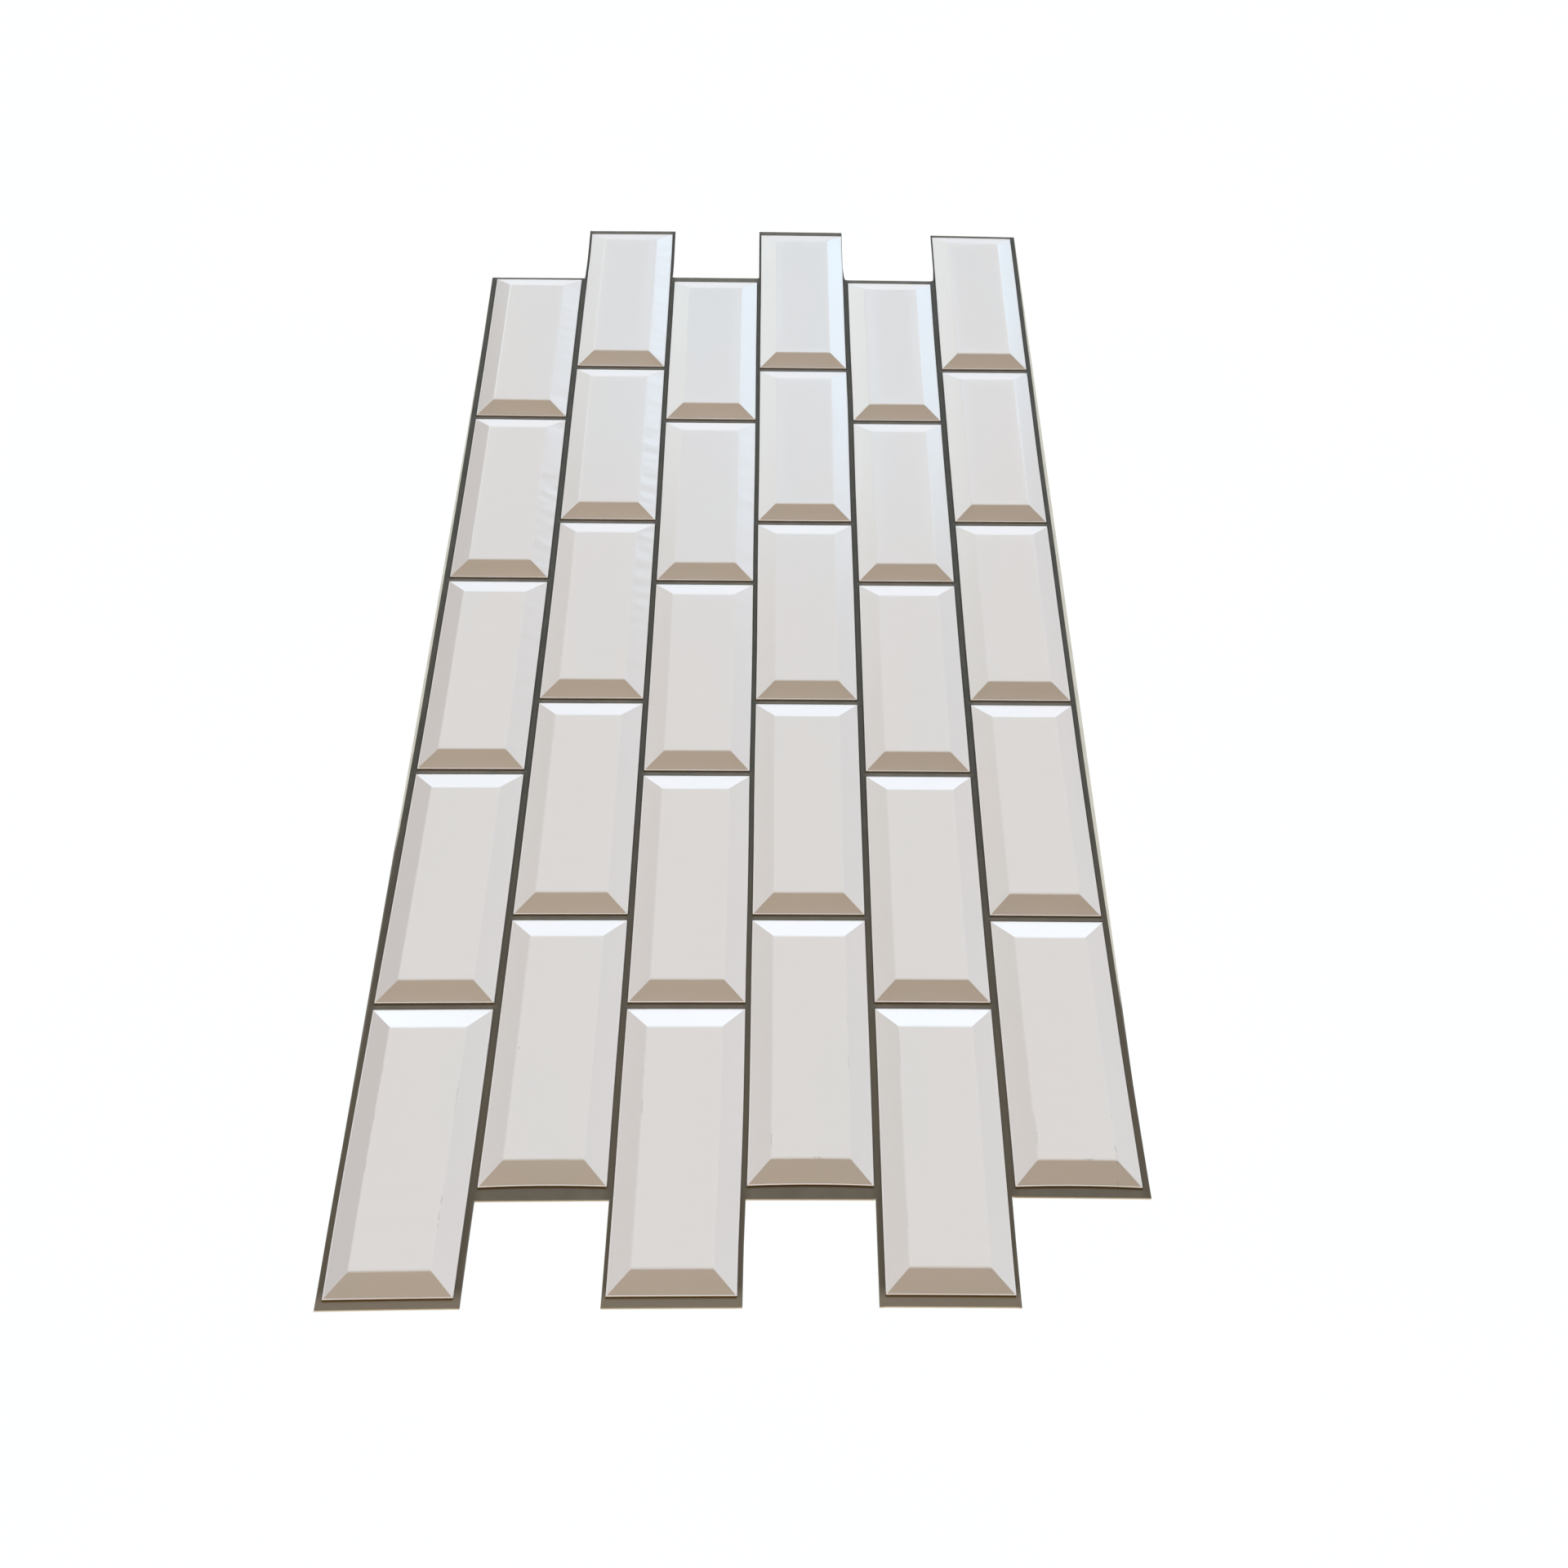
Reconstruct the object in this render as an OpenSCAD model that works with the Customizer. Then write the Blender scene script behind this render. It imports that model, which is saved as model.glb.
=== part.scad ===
// Thermoformed PVC wall panel: staggered bevelled tiles standing on a flat joint lattice.
// The sheet lies on its back, long side along Y, with the tiles facing up.
// The origin is under the middle of the panel, on the plane that it lies on.

/* [Layout] */
// Number of tile columns across the panel
tile_cols = 6; // [2:1:10]
// Number of tiles along one column
tile_rows = 5; // [2:1:8]
// How far the odd columns are shifted along the panel, which is the depth of the end teeth
stagger = 63.5; // [20:0.5:120]

/* [Tile] */
// Width of a tile, across the panel
tile_w = 75.4; // [50:0.1:120]
// Length of a tile, along the panel
tile_l = 174.5; // [90:0.5:260]
// Height of the upright edge round a tile
edge_h = 1.2; // [1:0.1:2.5]
// Width of the bevel round a tile, seen from above
bevel_run = 14; // [6:0.5:20]
// Rise of the bevel from the tile's edge to its flat field
bevel_rise = 4.8; // [2:0.1:8]
// Outside radius where the upright edge turns into the bevel
edge_r = 0.7; // [0.6:0.05:0.9]
// Outside radius where the bevel turns into the field
ridge_r = 3; // [2:0.25:6]

/* [Sheet] */
// Thickness of the plastic sheet
sheet_t = 0.4; // [0.3:0.05:0.5]
// Width of the flat joint between two tiles
joint_w = 4.4; // [3:0.1:10]
// Width of the flat strip outside the tiles, along both long sides
side_strip = 4.8; // [2:0.1:12]
// Width of the flat strip outside the tiles at the end with the even teeth
near_strip = 7.4; // [3:0.1:15]
// Width of the flat strip outside the tiles at the other end
far_strip = 5; // [3:0.1:15]

/* [Hidden] */

// Flats that make up the two rounded bends of the section
edge_steps = 3;
ridge_steps = 2;
// How far a cutting shape runs past what it cuts
clear = 1;

cell_w = tile_w + joint_w;
cell_l = tile_l + joint_w;
tile_top = sheet_t + edge_h + bevel_rise;
bevel_angle = atan(bevel_rise / bevel_run);

field_x = -(tile_cols * cell_w - joint_w) / 2;
tiles_len = tile_rows * cell_l - joint_w + stagger;
panel_w = tile_cols * cell_w - joint_w + 2 * side_strip;
panel_l = tiles_len + near_strip + far_strip;
tiles_y = -panel_l / 2 + near_strip;

// Near edge of the first tile in a column, and left edge of the column
function column_y(col) = tiles_y + (col % 2) * stagger;
function column_x(col) = field_x + col * cell_w;

// Points of an arc about c, from one direction to another
function arc(c, r, from, to, steps) =
    [for (i = [0:steps]) let (a = from + (to - from) * i / steps) c + r * [cos(a), sin(a)]];

// Right half of a tile's section, set in by inset from the outer skin: upright edge, bevel and field
function half_section(width, inset, foot) =
    let (
        edge_c = [width / 2 - edge_r,
                  sheet_t + edge_h - edge_r * (1 - sin(bevel_angle)) / cos(bevel_angle)],
        ridge_c = [width / 2 - bevel_run - ridge_r * tan(bevel_angle / 2), tile_top - ridge_r]
    )
    concat(
        [[width / 2 - inset, foot]],
        arc(edge_c, edge_r - inset, 0, 90 - bevel_angle, edge_steps),
        arc(ridge_c, ridge_r - inset, 90 - bevel_angle, 90, ridge_steps)
    );

// Whole section, the half and its mirror image
function section(width, inset, foot) =
    let (half = half_section(width, inset, foot), last = len(half) - 1)
    concat(half, [for (i = [last:-1:0]) [-half[i][0], half[i][1]]]);

// Hipped block, in which the section across and the section along meet at mitred corners
module hipped_block(inset, foot) {
    intersection() {
        rotate([90, 0, 0]) linear_extrude(tile_l + 2 * clear, center = true)
            polygon(section(tile_w, inset, foot));
        rotate([90, 0, 90]) linear_extrude(tile_w + 2 * clear, center = true)
            polygon(section(tile_l, inset, foot));
    }
}

// Puts its children at the middle of every tile
module at_tiles() {
    for (col = [0:tile_cols - 1], row = [0:tile_rows - 1])
        translate([column_x(col) + tile_w / 2, column_y(col) + row * cell_l + tile_l / 2, 0])
            children();
}

// Flat outline of the sheet: each column is a strip, shifted with its tiles, so the ends are toothed
module sheet_outline() {
    for (col = [0:tile_cols - 1]) {
        left = col == 0 ? -panel_w / 2 : column_x(col) - joint_w / 2;
        right = col == tile_cols - 1 ? panel_w / 2 : column_x(col + 1) - joint_w / 2;
        translate([left, column_y(col) - near_strip])
            square([right - left, panel_l - stagger]);
    }
}

module panel_sheet() {
    color("whitesmoke")
    difference() {
        union() {
            linear_extrude(sheet_t) sheet_outline();
            at_tiles() hipped_block(0, sheet_t / 2);
        }
        at_tiles() hipped_block(sheet_t, -clear);
    }
}

panel_sheet();
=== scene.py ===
import math

import bmesh
import bpy
from mathutils import Euler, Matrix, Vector, noise


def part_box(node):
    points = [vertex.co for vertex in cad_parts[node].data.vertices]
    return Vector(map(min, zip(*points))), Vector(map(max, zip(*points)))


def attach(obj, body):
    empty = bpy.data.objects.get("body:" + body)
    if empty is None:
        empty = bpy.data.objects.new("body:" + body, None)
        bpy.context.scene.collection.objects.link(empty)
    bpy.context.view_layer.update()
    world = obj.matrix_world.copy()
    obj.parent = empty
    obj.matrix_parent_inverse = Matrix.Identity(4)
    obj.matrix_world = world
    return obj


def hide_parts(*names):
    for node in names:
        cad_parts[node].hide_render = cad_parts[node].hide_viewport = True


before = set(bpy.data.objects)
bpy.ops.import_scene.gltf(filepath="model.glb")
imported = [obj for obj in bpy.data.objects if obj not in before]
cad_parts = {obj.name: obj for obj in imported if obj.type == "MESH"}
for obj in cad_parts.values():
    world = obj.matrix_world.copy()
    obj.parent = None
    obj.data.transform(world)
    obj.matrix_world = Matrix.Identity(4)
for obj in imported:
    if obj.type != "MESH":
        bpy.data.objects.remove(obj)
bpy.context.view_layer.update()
scene = bpy.context.scene


# camera and stage

cameraSetup = {
    "place": (0.01597, -0.64455, 0.82136),
    "turn": (32.162, -0.561, 0.040),    # degrees: tilt up from straight down, roll, heading
    "focalPixels": 1672.2,
    "imagePixels": 1920.0,
    "sensorWidth": 36.0,
}


def makeCamera(s):
    data = bpy.data.cameras.new("photoCamera")
    data.sensor_width = s["sensorWidth"]
    data.lens = s["sensorWidth"] * s["focalPixels"] / s["imagePixels"]
    data.clip_start, data.clip_end = 0.01, 50
    data.dof.use_dof = False
    camera = bpy.data.objects.new("photoCamera", data)
    camera.location = s["place"]
    camera.rotation_euler = Euler([math.radians(a) for a in s["turn"]], "XYZ")
    scene.collection.objects.link(camera)
    scene.camera = camera


makeCamera(cameraSetup)
print("camera ready")


# small helpers for materials

def newMaterial(name):
    material = bpy.data.materials.new(name)
    material.use_nodes = True
    tree = material.node_tree
    tree.nodes.clear()
    output = tree.nodes.new("ShaderNodeOutputMaterial")
    shader = tree.nodes.new("ShaderNodeBsdfPrincipled")
    tree.links.new(shader.outputs["BSDF"], output.inputs["Surface"])
    return material, tree, shader


def addNode(tree, kind, settings=None, inputs=None):
    node = tree.nodes.new(kind)
    for key, value in (settings or {}).items():
        setattr(node, key, value)
    for key, value in (inputs or {}).items():
        if isinstance(value, bpy.types.NodeSocket):
            tree.links.new(value, node.inputs[key])
        else:
            node.inputs[key].default_value = value
    return node


def objectCoords(tree, scale=(1, 1, 1), shift=(0, 0, 0)):
    coords = addNode(tree, "ShaderNodeTexCoord")
    mapping = addNode(tree, "ShaderNodeMapping", {}, {"Vector": coords.outputs["Object"]})
    mapping.inputs["Scale"].default_value = scale
    mapping.inputs["Location"].default_value = shift
    return mapping.outputs["Vector"]


# place on the sheet as it was printed, before it was pulled a little out of true
def flatPlan(tree):
    plan = addNode(tree, "ShaderNodeUVMap", {"uv_map": "flatPlan"})
    split = addNode(tree, "ShaderNodeSeparateXYZ", {}, {"Vector": plan.outputs["UV"]})
    return split.outputs["X"], split.outputs["Y"]


def noiseOn(tree, vector, scale, detail=3.0, rough=0.55):
    node = addNode(tree, "ShaderNodeTexNoise", {}, {"Vector": vector, "Scale": scale, "Detail": detail,
                                                     "Roughness": rough})
    return node.outputs["Fac"]


def remap(tree, value, fromLow, fromHigh, toLow, toHigh):
    node = addNode(tree, "ShaderNodeMapRange", {"clamp": True},
                   {"Value": value, "From Min": fromLow, "From Max": fromHigh,
                    "To Min": toLow, "To Max": toHigh})
    return node.outputs["Result"]


def mathOn(tree, operation, first, second):
    node = addNode(tree, "ShaderNodeMath", {"operation": operation})
    for index, value in enumerate((first, second)):
        if isinstance(value, bpy.types.NodeSocket):
            tree.links.new(value, node.inputs[index])
        else:
            node.inputs[index].default_value = value
    return node.outputs[0]


def mixColor(tree, factor, first, second):
    node = addNode(tree, "ShaderNodeMix", {"data_type": "RGBA"})
    for index, value in ((0, factor), (6, first), (7, second)):
        if isinstance(value, bpy.types.NodeSocket):
            tree.links.new(value, node.inputs[index])
        else:
            node.inputs[index].default_value = value
    return node.outputs[2]


def rgb(red, green, blue):
    return (red, green, blue, 1.0)


# the finishes of the sheet

whitePrint = {
    "warm": rgb(0.702, 0.652, 0.646),
    "cool": rgb(0.692, 0.657, 0.651),
    "scuff": rgb(0.42, 0.40, 0.38),
    "scuffDepth": 0.55,
    "rubs": (                   # middle across and along, half its size across and along, depth
        (0.0440, -0.3978, 0.0034, 0.0009, 0.75),
        (0.0162, -0.3880, 0.0004, 0.0085, 0.70),
        (0.2061, -0.3979, 0.0040, 0.0007, 0.60),
        (0.1762, -0.3820, 0.0011, 0.0130, 0.40),
        (0.2228, -0.3915, 0.0006, 0.0014, 0.80),
        (-0.1757, -0.3600, 0.0006, 0.0120, 0.45),
        (-0.1420, -0.3290, 0.0007, 0.0009, 0.80),
    ),
    "speck": rgb(0.10, 0.09, 0.08),
    "roughness": 0.24,
    "halfWidth": 0.2394,        # middle of the sheet to the middle of the outermost joint
    "cellWidth": 0.0798,
    "ridgeAt": 0.298,           # ridge to tile middle, as a share of the cell
    "rippleGain": 6.0,
    "bevelShadeShare": 0.10,           # share of painted shade on every bevel
    # more painted shade: on left-facing bevels of the outer left column and towards the near end, on near-facing bevels
    # towards the right, on far-facing bevels at the far end
    "outerLeft": 0.22,
    "nearLeft": 0.07,
    "nearRight": 0.27,
    "lastFar": 0.42,
    # colour of the painted shade on the bevels
    "bevelShadeColor": rgb(0.43, 0.385, 0.395),
}


def makeWhitePrint(s):
    material, tree, shader = newMaterial("whitePrint")
    coords = objectCoords(tree)
    cloud = noiseOn(tree, objectCoords(tree, (22, 7, 10)), 1.0, 0.0)
    color = mixColor(tree, remap(tree, cloud, 0.25, 0.75, 0.0, 1.0), s["warm"], s["cool"])
    # rubbed streaks along the two long ridges of the tiles
    planX, planY = flatPlan(tree)
    cell = mathOn(tree, "DIVIDE", mathOn(tree, "ADD", planX, s["halfWidth"]), s["cellWidth"])
    inCell = mathOn(tree, "FRACT", cell, 0.0)
    fromMiddle = mathOn(tree, "ABSOLUTE", mathOn(tree, "SUBTRACT", inCell, 0.5), 0.0)
    wander = noiseOn(tree, objectCoords(tree, (20, 30, 20)), 1.0, 1.0)
    ridge = mathOn(tree, "ADD", s["ridgeAt"], remap(tree, wander, 0.3, 0.7, -0.008, 0.008))
    nearRidge = remap(tree, mathOn(tree, "ABSOLUTE", mathOn(tree, "SUBTRACT", fromMiddle, ridge), 0.0),
                      0.003, 0.006, 1.0, 0.0)
    broken = remap(tree, noiseOn(tree, objectCoords(tree, (150, 95, 20)), 1.0, 2.0), 0.53, 0.60, 0.0, 1.0)
    patches = remap(tree, noiseOn(tree, objectCoords(tree, (11, 13, 9), (3.1, 0.7, 0)), 1.0, 1.0), 0.52, 0.60, 0.0, 1.0)
    nearEnd = remap(tree, planY, -0.28, -0.40, 0.08, 1.0)
    scuffs = mathOn(tree, "MULTIPLY", mathOn(tree, "MULTIPLY", nearRidge, broken),
                    mathOn(tree, "MULTIPLY", patches, nearEnd))
    color = mixColor(tree, mathOn(tree, "MULTIPLY", scuffs, s["scuffDepth"]), color, s["scuff"])
    # a few worn spots by the near ridges
    for x, y, halfAcross, halfAlong, depth in s["rubs"]:
        spot = addNode(tree, "ShaderNodeCombineXYZ", {}, {
            "X": mathOn(tree, "DIVIDE", mathOn(tree, "SUBTRACT", planX, x), halfAcross),
            "Y": mathOn(tree, "DIVIDE", mathOn(tree, "SUBTRACT", planY, y), halfAlong)})
        reach = addNode(tree, "ShaderNodeVectorMath", {"operation": "LENGTH"}, {0: spot.outputs["Vector"]})
        patch = remap(tree, reach.outputs["Value"], 0.5, 1.0, depth, 0.0)
        flecks = remap(tree, noiseOn(tree, objectCoords(tree, (700, 420, 300)), 1.0, 1.0), 0.42, 0.56, 0.15, 1.0)
        color = mixColor(tree, mathOn(tree, "MULTIPLY", patch, flecks), color, s["scuff"])
    # sparse dark specks
    cells = addNode(tree, "ShaderNodeTexVoronoi", {"feature": "F1"}, {"Vector": coords, "Scale": 62.0})
    dots = remap(tree, cells.outputs["Distance"], 0.024, 0.036, 1.0, 0.0)
    pick = addNode(tree, "ShaderNodeSeparateColor", {}, {"Color": cells.outputs["Color"]})
    chosen = remap(tree, pick.outputs["Red"], 0.982, 0.985, 0.0, 0.7)
    color = mixColor(tree, mathOn(tree, "MULTIPLY", dots, chosen), color, s["speck"])
    # painted shade on the bevels, set by the way each faces: a little on all, more on left-facing ones towards the left
    # and the near end, on near-facing ones towards the right, and on far-facing ones towards the far end
    turned = addNode(tree, "ShaderNodeSeparateXYZ", {}, {"Vector": addNode(tree, "ShaderNodeTexCoord").outputs["Normal"]})
    leftShare = mathOn(tree, "ADD", remap(tree, planX, -0.12, 0.04, s["bevelShadeShare"] * 0.6, 0.0),
                       remap(tree, planX, -0.20, -0.17, s["outerLeft"], 0.0))
    leftShare = mathOn(tree, "ADD", leftShare, remap(tree, planY, -0.15, -0.38, 0.0, s["nearLeft"]))
    nearShare = remap(tree, planX, -0.10, 0.24, s["bevelShadeShare"], s["nearRight"])
    farShare = remap(tree, planY, 0.34, 0.46, s["bevelShadeShare"], s["lastFar"])
    bevelShadeAmount = s["bevelShadeShare"]
    for axis, sign, share in (("X", -1, leftShare), ("Y", -1, nearShare), ("Y", 1, farShare)):
        facing = remap(tree, turned.outputs[axis], 0.15 * sign, 0.25 * sign, 0.0, 1.0)
        step = mathOn(tree, "MULTIPLY", mathOn(tree, "SUBTRACT", share, s["bevelShadeShare"]), facing)
        bevelShadeAmount = mathOn(tree, "ADD", step, bevelShadeAmount)
    steep = remap(tree, turned.outputs["Z"], 0.985, 0.955, 0.0, 1.0)
    color = mixColor(tree, mathOn(tree, "MULTIPLY", bevelShadeAmount, steep), color, s["bevelShadeColor"])
    tree.links.new(color, shader.inputs["Base Color"])
    gloss = remap(tree, noiseOn(tree, coords, 9.0, 2.0), 0.3, 0.7, s["roughness"] - 0.02, s["roughness"] + 0.02)
    tree.links.new(gloss, shader.inputs["Roughness"])
    shader.inputs["IOR"].default_value = 1.5
    # slow ripples of the formed sheet, plainer on the right bevels of the left columns
    ripples = noiseOn(tree, objectCoords(tree, (45, 110, 45)), 1.0, 0.0)
    onRight = remap(tree, inCell, 0.5 + s["ridgeAt"], 0.54 + s["ridgeAt"], 0.0, 1.0)
    leftSide = remap(tree, planX, 0.06, -0.10, 0.0, 1.0)
    farHalf = remap(tree, planY, -0.12, 0.10, 0.0, 1.0)
    gain = mathOn(tree, "MULTIPLY", mathOn(tree, "MULTIPLY", onRight, leftSide), farHalf)
    gain = remap(tree, gain, 0.0, 1.0, 1.0, s["rippleGain"])
    ripples = mathOn(tree, "MULTIPLY", mathOn(tree, "SUBTRACT", ripples, 0.5), gain)
    bump = addNode(tree, "ShaderNodeBump", {}, {"Height": ripples, "Strength": 0.5, "Distance": 0.00010})
    tree.links.new(bump.outputs["Normal"], shader.inputs["Normal"])
    return material


jointPrint = {
    "middle": rgb(0.079, 0.069, 0.057),
    "side": rgb(0.041, 0.037, 0.032),     # painted shade, darker along the foot of the tiles
    "dark": rgb(0.036, 0.034, 0.030),
    "end": rgb(0.186, 0.150, 0.114),
    # painted light: how much lighter the cross joints are drawn, to offset the shadow the tile edges cast into them
    "crossPaintedLight": 1.95,
    "endFrom": -0.4700,         # the print turns paler towards the near end
    "endTo": -0.4775,
    "nearTint": rgb(0.112, 0.086, 0.060),
    "roughness": 0.6,
    "halfWidth": 0.2394,        # middle of the sheet to the middle of the outermost joint
    "cellWidth": 0.0798,
    "firstCross": -0.4778,      # middle of the cross joint before the first tile
    "cellLength": 0.1789,
    "stagger": 0.0635,
    "columns": 6,
    "rows": 5,
}


def makeJointPrint(s):
    material, tree, shader = newMaterial("jointPrint")
    coords = objectCoords(tree)
    planX, planY = flatPlan(tree)
    cell = mathOn(tree, "DIVIDE", mathOn(tree, "ADD", planX, s["halfWidth"]), s["cellWidth"])
    odd = mathOn(tree, "FLOORED_MODULO", mathOn(tree, "FLOOR", cell, 0.0), 2.0)
    along = mathOn(tree, "SUBTRACT", mathOn(tree, "SUBTRACT", planY, s["firstCross"]),
                   mathOn(tree, "MULTIPLY", odd, s["stagger"]))
    along = mathOn(tree, "DIVIDE", along, s["cellLength"])
    toJoint = []
    for place, size, count in ((cell, s["cellWidth"], s["columns"]), (along, s["cellLength"], s["rows"])):
        off = mathOn(tree, "SUBTRACT", mathOn(tree, "FRACT", place, 0.0), 0.5)
        off = mathOn(tree, "SUBTRACT", 0.5, mathOn(tree, "ABSOLUTE", off, 0.0))
        off = mathOn(tree, "MULTIPLY", off, mathOn(tree, "GREATER_THAN", place, 0.0))
        off = mathOn(tree, "MULTIPLY", off, mathOn(tree, "LESS_THAN", place, float(count)))
        toJoint.append(mathOn(tree, "MULTIPLY", off, size))
    fromMiddle = mathOn(tree, "MINIMUM", toJoint[0], toJoint[1])
    # painted shade along the foot of the tiles, at both sides of each joint
    color = mixColor(tree, remap(tree, fromMiddle, 0.0005, 0.0018, 0.0, 1.0), s["middle"], s["side"])
    mottle = noiseOn(tree, coords, 60.0, 3.0, 0.6)
    color = mixColor(tree, remap(tree, mottle, 0.35, 0.66, 0.0, 0.45), color, s["dark"])
    # painted light on the cross joints, offsetting the shadow that the tile edges cast into them
    isCross = mathOn(tree, "MULTIPLY", remap(tree, toJoint[1], 0.0022, 0.0030, 1.0, 0.0),
                     remap(tree, toJoint[0], 0.0, 0.0050, 0.0, 1.0))
    lift = remap(tree, isCross, 0.0, 1.0, 1.0, s["crossPaintedLight"])
    lifted = addNode(tree, "ShaderNodeVectorMath", {"operation": "SCALE"}, {"Vector": color, "Scale": lift})
    color = mixColor(tree, remap(tree, planY, -0.12, -0.34, 0.0, 0.55), lifted.outputs["Vector"], s["nearTint"])
    color = mixColor(tree, remap(tree, planY, s["endFrom"], s["endTo"], 0.0, 0.9), color, s["end"])
    tree.links.new(color, shader.inputs["Base Color"])
    shader.inputs["Roughness"].default_value = s["roughness"]
    bump = addNode(tree, "ShaderNodeBump", {}, {"Height": noiseOn(tree, coords, 260.0, 1.0),
                                                "Strength": 0.3, "Distance": 0.0002})
    tree.links.new(bump.outputs["Normal"], shader.inputs["Normal"])
    return material


# the unprinted margin outside the joints
cutPlastic = {
    "pale": rgb(0.600, 0.560, 0.492),
    "dull": rgb(0.550, 0.512, 0.448),
    "cutEdgeShade": rgb(0.16, 0.14, 0.12),   # painted shade: the cut edge darker at both ends and on the near parts of the long sides
    "sideEdge": 0.2402,
    "leftFrom": -0.175,                 # the pale margin starts here on each long side
    "rightFrom": -0.290,
    "roughness": 0.5,
}


def makeCutPlastic(s):
    material, tree, shader = newMaterial("cutPlastic")
    nicks = noiseOn(tree, objectCoords(tree), 90.0, 3.0, 0.6)
    color = mixColor(tree, remap(tree, nicks, 0.4, 0.65, 0.0, 1.0), s["pale"], s["dull"])
    planX, planY = flatPlan(tree)
    onSide = remap(tree, mathOn(tree, "ABSOLUTE", planX, 0.0), s["sideEdge"], s["sideEdge"] + 0.0003, 0.0, 1.0)
    start = remap(tree, planX, -0.1, 0.1, s["leftFrom"], s["rightFrom"])
    pastStart = remap(tree, mathOn(tree, "SUBTRACT", planY, start), -0.01, 0.01, 0.0, 1.0)
    bare = mathOn(tree, "MULTIPLY", onSide, pastStart)
    # painted shade on the cut edge, outside the pale margins of the long sides
    tree.links.new(mixColor(tree, bare, s["cutEdgeShade"], color), shader.inputs["Base Color"])
    shader.inputs["Roughness"].default_value = s["roughness"]
    return material


plainBack = {"color": rgb(0.72, 0.71, 0.69), "shade": rgb(0.66, 0.65, 0.63), "roughness": 0.48}


def makePlainBack(s):
    material, tree, shader = newMaterial("plainBack")
    coords = objectCoords(tree)
    tree.links.new(mixColor(tree, noiseOn(tree, coords, 14.0, 5.0), s["color"], s["shade"]),
                   shader.inputs["Base Color"])
    shader.inputs["Roughness"].default_value = s["roughness"]
    bump = addNode(tree, "ShaderNodeBump", {}, {"Height": noiseOn(tree, coords, 420.0, 3.0),
                                                "Strength": 0.25, "Distance": 0.0002})
    tree.links.new(bump.outputs["Normal"], shader.inputs["Normal"])
    return material


# the formed sheet

sheet = {
    "columns": 6,
    "rows": 5,
    "jointWidth": 0.0044,
    "stagger": 0.0635,
    "sideStrip": 0.0048,
    "nearStrip": 0.0074,
    "farStrip": 0.0050,
    "thickness": 0.0004,
    "edgeHeight": 0.0008,
    "bevelRun": 0.0140,
    "bevelRise": 0.0052,
    "lip": 0.0008,           # flat rim outside the bevel
    "edgeRound": 0.00035,
    "ridgeRound": 0.00080,
    "cutBorder": 0.00025,    # where the print stops short of the cut
    "sharpAngle": 40.0,
    "meshStep": 0.0120,
    "swayAcross": 0.00035,   # how far joints wander in the plane of the sheet
    "swayUp": 0.00010,
    "swayLength": 0.110,
    "notchDrop": 0.0020,
    "bowLength": 0.050,
    "notchBow": 0.0008,      # how far the tiles behind a notch curve away from it
    "jointGrow": (0.0, 0.0006, -0.0001, -0.0008, 0.0002, 0.0007, 0.0),
    "outlineLeft": -0.0021,  # the cut long sides are straighter than the print
    "outlineRight": 0.0002,
    "outlineFlare": -0.0012,
    "jointSlip": (0.0, -0.0004, 0.0, 0.0, 0.0, 0.0003, 0.0),
    # towards both ends, joint by joint: how far a joint is pulled, and the cut beside an end tooth
    "nearPull": (0.0, -0.0004, 0.0, -0.0012, -0.0001, -0.0004, 0.0),
    "nearCutPull": (0.0, 0.0019, -0.0002, 0.0014, -0.0015, 0.0002, 0.0),
    "farPull": (0.0, 0.0022, 0.0011, 0.0, -0.0011, 0.0, 0.0),
    "farCutPull": (0.0, 0.0004, 0.0005, 0.0, -0.0019, 0.0013, 0.0),
    "nearPullSpan": (0.36, 0.45),
    "farPullSpan": (0.24, 0.45),
    "toothFade": 0.006,
    "toothLead": (0.006, 0.0),  # how far before a notch the cut starts to shift, near and far
    "cornerShare": 0.85,        # from here to the middle of a joint, a notch corner follows the cut end
    "columnSlip": (0.00125, 0.0, -0.0002, -0.0001, 0.0001, 0.0004),
    "nearSlip": (0.0, 0.0, 0.0, 0.0003, 0.0008, 0.0003),
    "toothLift": 0.0016,
    # how far the cut ends fall short of the strips' full width, or past it
    "nearCut": (0.0024, 0.0, 0.0018, 0.0, 0.0016, 0.0019),
    "farCut": (-0.0020, 0.0, 0.0015, 0.0006, 0.0, -0.0015),
    "printRight": -0.0005,
    "printNearLeft": 0.0014,
    "cornerNearLeft": 0.0022,
    "cornerNearRight": 0.0016,
    # the real sheet lies a few millimetres off a true grid: how far at its edges
    "shiftX": 0.0011, "widenX": -0.0024, "bowX": -0.0022, "leanX": -0.0012, "flareNear": 0.0042, "flareFar": 0.0068, "flareHold": 0.5,
    "spreadX": 0.0018,
    "shiftY": -0.0013, "stretchY": -0.0053, "bowY": 0.0039, "curlY": 0.0088, "turnY": -0.0012, "fanY": 0.0018,
    "crownY": 0.0012,
}
tileFace, jointFace, cutFace = 0, 1, 2


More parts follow.
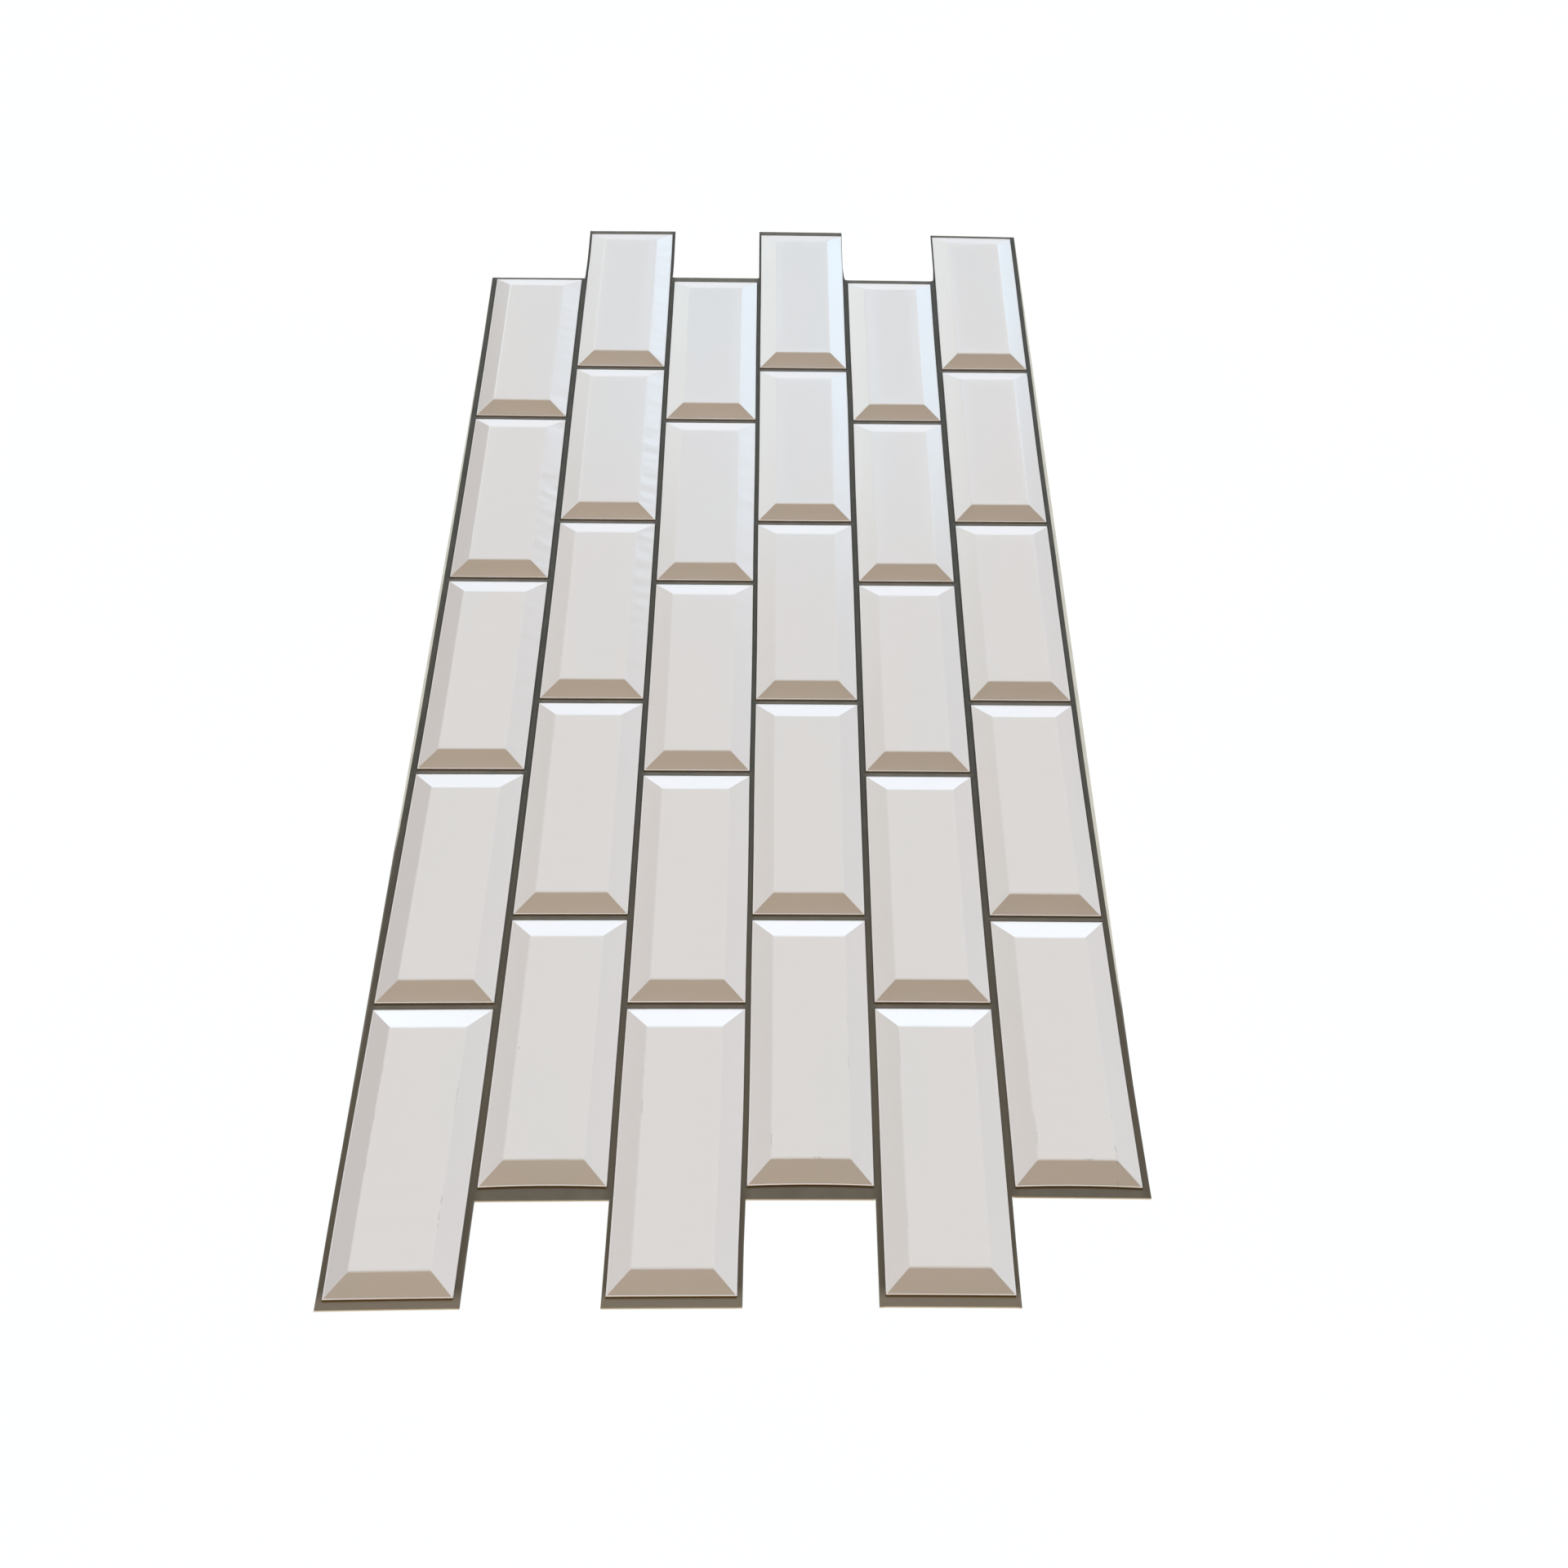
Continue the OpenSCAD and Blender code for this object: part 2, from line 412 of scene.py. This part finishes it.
class Layout:
    def __init__(self, s, low, high):
        self.low, self.high = low, high
        self.tileWidth = (high.x - low.x - 2 * s["sideStrip"] + s["jointWidth"]) / s["columns"] - s["jointWidth"]
        field = high.y - low.y - s["nearStrip"] - s["farStrip"] - s["stagger"]
        self.tileLength = (field + s["jointWidth"]) / s["rows"] - s["jointWidth"]
        self.s = s

    def columnX(self, column):
        return self.low.x + self.s["sideStrip"] + column * (self.tileWidth + self.s["jointWidth"])

    def rowY(self, column, row):
        start = self.low.y + self.s["nearStrip"] + (column % 2) * self.s["stagger"]
        return start + row * (self.tileLength + self.s["jointWidth"])

    def columnAt(self, x):
        cell = self.tileWidth + self.s["jointWidth"]
        start = self.low.x + self.s["sideStrip"] - self.s["jointWidth"] / 2
        return min(self.s["columns"] - 1, max(0, int((x - start) // cell)))

    def onSheet(self, point):
        column = self.columnAt(point.x)
        near = self.low.y + (column % 2) * self.s["stagger"]
        far = self.high.y - (1 - column % 2) * self.s["stagger"]
        return near < point.y < far

    def onTile(self, point):
        column = self.columnAt(point.x)
        left = self.columnX(column)
        if not left < point.x < left + self.tileWidth:
            return False
        for row in range(self.s["rows"]):
            near = self.rowY(column, row)
            if near < point.y < near + self.tileLength:
                return True
        return False

    def cuts(self):
        half = self.s["jointWidth"] / 2
        across, along = [], []
        for column in range(self.s["columns"]):
            left = self.columnX(column)
            across += [left, left + self.tileWidth]
            if column:
                across.append(left - half)
        for column in (0, 1):
            along.append(self.rowY(column, 0) - self.s["nearStrip"])
            along.append(self.rowY(column, self.s["rows"] - 1) + self.tileLength + self.s["farStrip"])
            for row in range(self.s["rows"]):
                near = self.rowY(column, row)
                along += [near, near + self.tileLength]
        return across, along


    # how far out on the end strips of a column a place is, from 0 to 1 for each end
    def endShares(self, column, y):
        near = self.rowY(column, 0)
        far = self.rowY(column, self.s["rows"] - 1) + self.tileLength
        nearShare = (near - y) / self.s["nearStrip"]
        farShare = (y - far) / self.s["farStrip"]
        return (min(1.0, max(0.0, nearShare)) * (nearShare < 1.01),
                min(1.0, max(0.0, farShare)) * (farShare < 1.01))

    # how far a point of the real sheet lies off the true grid
    def drift(self, place):
        s = self.s
        u, v = place.x / self.high.x, place.y / self.high.y
        sway = noise.noise_vector(Vector((place.x, place.y, 0)) / s["swayLength"] + Vector((3.7, 1.3, 0.5)))
        flare = s["flareNear"] if v < 0 else s["flareFar"] * (1 - s["flareHold"] * u ** 2)
        dx = s["shiftX"] + s["widenX"] * u + s["bowX"] * u ** 2 + s["spreadX"] * u ** 3
        dx += s["leanX"] * v ** 2 + flare * u * v ** 2 + s["swayAcross"] * sway.x
        column = self.columnAt(place.x)
        across = (place.x - self.columnX(column)) / self.tileWidth
        share = min(1.0, max(0.0, across))
        offTile = abs(across - share) * self.tileWidth / (s["jointWidth"] / 2)
        grow, slip = s["jointGrow"], s["jointSlip"]
        dx += ((1 - share) * grow[column] - share * grow[column + 1]) / 2 * max(0.0, 1 - offTile)
        dx += (1 - share) * slip[column] + share * slip[column + 1]
        for pull, cut, span, lead, sign in ((s["nearPull"], s["nearCutPull"], s["nearPullSpan"], s["toothLead"][0], -1),
                                            (s["farPull"], s["farCutPull"], s["farPullSpan"], s["toothLead"][1], 1)):
            reach = min(1.0, max(0.0, (sign * place.y - span[0]) / (span[1] - span[0]))) ** 1.5
            dx += reach * ((1 - share) * pull[column] + share * pull[column + 1])
            reach = min(1.0, max(0.0, (sign * place.y - self.high.y + s["stagger"] + lead) / s["toothFade"]))
            dx += reach * min(1.0, offTile) * ((1 - share) * cut[column] + share * cut[column + 1])
        dx += s["cornerNearLeft"] * max(0.0, (-u - 0.66) / 0.34) * max(0.0, (-v - 0.69) / 0.28) ** 2
        dx += s["cornerNearRight"] * max(0.0, (u - 0.66) / 0.34) * min(1.0, max(0.0, (-v - 0.45) / 0.45))
        # the cut long sides are straighter than the print
        outside = abs(place.x) - (self.high.x - s["sideStrip"])
        strip = s["sideStrip"] - s["cutBorder"]
        if u > 0:
            dx += s["printRight"] * min(1.0, max(0.0, outside / strip))
            cutLine = max(dx, s["outlineRight"])
        else:
            narrow = s["printNearLeft"] * min(1.0, max(0.0, (-v - 0.45) / 0.20))
            dx += narrow * min(1.0, max(0.0, outside / strip))
            cutLine = min(dx, s["outlineLeft"] + s["outlineFlare"] * max(0.0, v) ** 3)
        dx += (cutLine - dx) * min(1.0, max(0.0, (outside - strip) / s["cutBorder"]))
        dy = s["shiftY"] + s["stretchY"] * v + s["bowY"] * v ** 2 + s["curlY"] * v ** 3
        dy += s["turnY"] * u * v + s["fanY"] * u ** 2 * v
        dy += s["crownY"] * (1 - 3.5 * (u - 0.05) ** 2) * max(0.0, v) ** 4
        # each column slips a little on its own, with its neighbour as far as the middle of the joint
        other = column + (-1 if across < 0 else 1)
        other = column if not 0 <= other < s["columns"] else other
        inJoint = min(1.0, offTile) / 2
        columnSlip = (1 - inJoint) * s["columnSlip"][column] + inJoint * s["columnSlip"][other]
        dy += columnSlip * min(1.0, max(0.0, (v + 0.6) / 0.7))
        nearSlip = (1 - inJoint) * s["nearSlip"][column] + inJoint * s["nearSlip"][other]
        dy += nearSlip * min(1.0, max(0.0, (-v - 0.35) / 0.4))
        if offTile > s["cornerShare"] and self.endShares(other, place.y) != (0.0, 0.0):
            nearShare, farShare = self.endShares(other, place.y)
            dy += nearShare * s["nearCut"][other] + farShare * s["farCut"][other]
        else:
            nearShare, farShare = self.endShares(column, place.y)
            dy += nearShare * s["nearCut"][column] + farShare * s["farCut"][column]
        odd = 1.0 if column % 2 else (2 * inJoint if other != column else 0.0)
        along = place.y - self.rowY(1, 0)
        grow = min(1.0, max(0.0, 1 + along / s["nearStrip"]), max(0.0, 1 - along / s["bowLength"]))
        dy += odd * s["notchBow"] * max(0.0, 1 - (2 * share - 1) ** 2) * grow
        drop = max(0.0, 1 - max(0.0, along) / s["bowLength"])
        dy -= odd * s["notchDrop"] * min(drop, max(0.0, 1 + (along + s["nearStrip"]) / 0.020))
        dy += odd * s["toothLift"] * max(0.0, (v - 0.7) / 0.3) ** 2
        raised = max(0.0, place.z - self.low.z - s["thickness"]) / (self.high.z - self.low.z)
        dz = -s["swayUp"] * (0.5 + 0.5 * sway.z) * raised
        return Vector((dx, dy, dz))


def cutAcross(bm, places, axis):
    normal = Vector((1, 0, 0)) if axis == 0 else Vector((0, 1, 0))
    for place in places:
        bmesh.ops.bisect_plane(bm, geom=bm.verts[:] + bm.edges[:] + bm.faces[:], dist=1e-7,
                               plane_co=normal * place, plane_no=normal)


def steepness(face):
    return math.hypot(face.normal.x, face.normal.y)


# a crease that stays crisp: a mitre between two bevels, the foot of a bevel, or a sharp turn
def isCrisp(edge, s, lipZ):
    if len(edge.link_faces) != 2:
        return True
    first, second = edge.link_faces
    if edge.calc_face_angle() > math.radians(s["sharpAngle"]):
        return True
    flat, steep = sorted((steepness(first), steepness(second)))
    if 0.02 < flat and steep < 0.5 and first.normal.xy.normalized().dot(second.normal.xy.normalized()) < 0.5:
        return True
    return all(abs(v.co.z - lipZ) < 0.0002 for v in edge.verts) and flat < 0.1 < steep < 0.5


def buildSheet(s, materials):
    layout = Layout(s, *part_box("panel_sheet"))
    low, high = layout.low, layout.high
    jointZ = low.z + s["thickness"]
    lipZ = jointZ + s["edgeHeight"]
    fieldZ = lipZ + s["bevelRise"]
    bm = bmesh.new()
    bmesh.ops.create_grid(bm, x_segments=1, y_segments=1, size=0.5)
    bmesh.ops.scale(bm, verts=bm.verts, vec=(high.x - low.x, high.y - low.y, 1))
    bmesh.ops.translate(bm, verts=bm.verts, vec=((low.x + high.x) / 2, (low.y + high.y) / 2, jointZ))
    across, along = layout.cuts()
    cutAcross(bm, across, 0)
    cutAcross(bm, along, 1)
    # the notches between the end teeth
    gone = [f for f in bm.faces if not layout.onSheet(f.calc_center_median())]
    bmesh.ops.delete(bm, geom=gone, context="FACES")
    for face in bm.faces:
        face.material_index = jointFace
    border = bmesh.ops.inset_region(bm, faces=bm.faces[:], thickness=s["cutBorder"], use_boundary=True,
                                    use_even_offset=True)
    for face in border["faces"]:
        face.material_index = cutFace
    # upright edge of each tile
    tiles = [f for f in bm.faces if layout.onTile(f.calc_center_median())]
    raised = bmesh.ops.extrude_face_region(bm, geom=tiles)
    top = [e for e in raised["geom"] if isinstance(e, bmesh.types.BMFace)]
    bmesh.ops.delete(bm, geom=[f for f in tiles if f.is_valid], context="FACES_ONLY")
    bmesh.ops.translate(bm, verts=[e for e in raised["geom"] if isinstance(e, bmesh.types.BMVert)],
                        vec=(0, 0, s["edgeHeight"]))
    # flat lip, then the bevel up to the field
    bmesh.ops.inset_region(bm, faces=top, thickness=s["lip"], use_boundary=True, use_even_offset=True)
    bmesh.ops.inset_region(bm, faces=top, thickness=s["bevelRun"] - s["lip"], depth=s["bevelRise"],
                           use_boundary=True, use_even_offset=True)
    for face in bm.faces:
        if face.calc_center_median().z > jointZ + 1e-6:
            face.material_index = tileFace
    # rounded ridge between bevel and field
    bm.normal_update()
    ridge = [e for e in bm.edges if len(e.link_faces) == 2 and all(abs(v.co.z - fieldZ) < 1e-6 for v in e.verts)
             and min(f.normal.z for f in e.link_faces) < 0.99]
    bmesh.ops.bevel(bm, geom=ridge, offset=s["ridgeRound"], offset_type="OFFSET", affect="EDGES",
                    segments=3, profile=0.5, material=-1)
    # rounded turn from the upright edge to the lip, and the upright corners
    bm.normal_update()
    rim = [e for e in bm.edges if len(e.link_faces) == 2 and all(abs(v.co.z - lipZ) < 1e-6 for v in e.verts)
           and min(f.normal.z for f in e.link_faces) < 0.5]
    rim += [e for e in bm.edges if len(e.link_faces) == 2
            and abs(e.verts[0].co.z - e.verts[1].co.z) > s["edgeHeight"] * 0.9
            and max(f.normal.z for f in e.link_faces) < 0.1 and e.calc_face_angle() > 1.0]
    bmesh.ops.bevel(bm, geom=rim, offset=s["edgeRound"], offset_type="OFFSET", affect="EDGES",
                    segments=3, profile=0.5, material=-1)
    for face in bm.faces:
        if face.material_index == tileFace and all(v.co.z < jointZ + 1e-6 for v in face.verts):
            face.material_index = jointFace
    # finer mesh, so that the sheet can sway
    steps = int((high.x - low.x) / s["meshStep"])
    cutAcross(bm, [low.x + (high.x - low.x) * i / steps for i in range(1, steps)], 0)
    steps = int((high.y - low.y) / s["meshStep"])
    cutAcross(bm, [low.y + (high.y - low.y) * i / steps for i in range(1, steps)], 1)
    bm.normal_update()
    for edge in bm.edges:
        edge.smooth = not isCrisp(edge, s, lipZ)
    for face in bm.faces:
        face.smooth = True
    plan = bm.loops.layers.uv.new("flatPlan")
    for face in bm.faces:
        for loop in face.loops:
            loop[plan].uv = loop.vert.co.xy
    for vert in bm.verts:
        vert.co += layout.drift(vert.co.copy())
    mesh = bpy.data.meshes.new("formedSheet")
    bm.to_mesh(mesh)
    bm.free()
    for material in materials:
        mesh.materials.append(material)
    piece = bpy.data.objects.new("formedSheet", mesh)
    scene.collection.objects.link(piece)
    solid = piece.modifiers.new("wall", "SOLIDIFY")
    solid.thickness = s["thickness"]
    solid.offset = -1
    solid.use_even_offset = True
    solid.material_offset = 3
    solid.material_offset_rim = 1
    normals = piece.modifiers.new("normals", "WEIGHTED_NORMAL")
    normals.keep_sharp = True
    return piece


formedSheet = buildSheet(sheet, [makeWhitePrint(whitePrint), makeJointPrint(jointPrint),
                                 makeCutPlastic(cutPlastic), makePlainBack(plainBack)])
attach(formedSheet, "root")
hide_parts("panel_sheet")
print("sheet ready,", len(formedSheet.data.polygons), "faces before its wall")


# floor and light

studio = {
    "floorSize": 12.0,
    "floorColor": rgb(0.95, 0.95, 0.95),
    "floorShade": rgb(0.93, 0.93, 0.93),
    "floorGlow": 0.15,          # share of plain white that the camera sees in the floor
    "worldColor": rgb(0.10, 0.07, 0.04),
    "lampDistance": 3.0,
    "windows": {                # degrees right of the far side, rise, width, then strength, colour, seen in gloss
        "farWindow": (7.3, 31.0, 30.0, 5.08, (0.665, 0.823, 0.988), False),
        "softRoof": (0.0, 88.0, 90.0, 1.02, (1.0, 0.61, 0.12), False),
        "rightWindow": (29.0, 26.0, 20.0, 0.56, (0.45, 0.75, 1.0), True),
        "leftWindow": (-27.0, 29.0, 22.0, 0.44, (0.66, 0.90, 1.0), True),
        "skyWindow": (0.0, 40.0, 18.0, 0.13, (0.02, 0.55, 1.0), True),
    },
}


def makeFloor(s):
    bm = bmesh.new()
    bmesh.ops.create_grid(bm, x_segments=1, y_segments=1, size=s["floorSize"] / 2)
    mesh = bpy.data.meshes.new("studioFloor")
    bm.to_mesh(mesh)
    bm.free()
    floor = bpy.data.objects.new("studioFloor", mesh)
    scene.collection.objects.link(floor)
    material, tree, shader = newMaterial("paleFloor")
    grain = noiseOn(tree, objectCoords(tree), 3.0, 2.0)
    tree.links.new(mixColor(tree, grain, s["floorColor"], s["floorShade"]), shader.inputs["Base Color"])
    shader.inputs["Roughness"].default_value = 0.9
    shader.inputs["Specular IOR Level"].default_value = 0.0
    paths = addNode(tree, "ShaderNodeLightPath")
    glow = addNode(tree, "ShaderNodeEmission", {}, {"Strength": 1.0})
    share = mathOn(tree, "MULTIPLY", paths.outputs["Is Camera Ray"], s["floorGlow"])
    mix = addNode(tree, "ShaderNodeMixShader", {}, {0: share, 1: shader.outputs["BSDF"], 2: glow.outputs[0]})
    output = next(n for n in tree.nodes if n.type == "OUTPUT_MATERIAL")
    tree.links.new(mix.outputs[0], output.inputs["Surface"])
    mesh.materials.append(material)


def makeWorld(s):
    world = bpy.data.worlds.new("studioWorld")
    scene.world = world
    world.use_nodes = True
    tree = world.node_tree
    tree.nodes.clear()
    output = tree.nodes.new("ShaderNodeOutputWorld")
    lit = addNode(tree, "ShaderNodeBackground", {}, {"Color": s["worldColor"], "Strength": 1.0})
    seen = addNode(tree, "ShaderNodeBackground", {}, {"Color": rgb(1, 1, 1), "Strength": 1.0})
    paths = addNode(tree, "ShaderNodeLightPath")
    mix = addNode(tree, "ShaderNodeMixShader", {}, {0: paths.outputs["Is Camera Ray"],
                                                    1: lit.outputs[0], 2: seen.outputs[0]})
    tree.links.new(mix.outputs[0], output.inputs["Surface"])


def makeWindows(s):
    for name, (turn, rise, width, strength, color, inGloss) in s["windows"].items():
        data = bpy.data.lights.new(name, "SUN")
        data.angle = math.radians(width)
        data.color = color
        data.energy = strength
        lamp = bpy.data.objects.new(name, data)
        turn, rise = math.radians(turn), math.radians(rise)
        towards = Vector((math.sin(turn) * math.cos(rise), math.cos(turn) * math.cos(rise), math.sin(rise)))
        lamp.location = towards * s["lampDistance"]
        lamp.rotation_euler = towards.to_track_quat("Z", "Y").to_euler()
        lamp.visible_glossy = inGloss
        scene.collection.objects.link(lamp)


makeFloor(studio)
makeWorld(studio)
makeWindows(studio)
scene.view_settings.view_transform = "Standard"
print("studio ready")
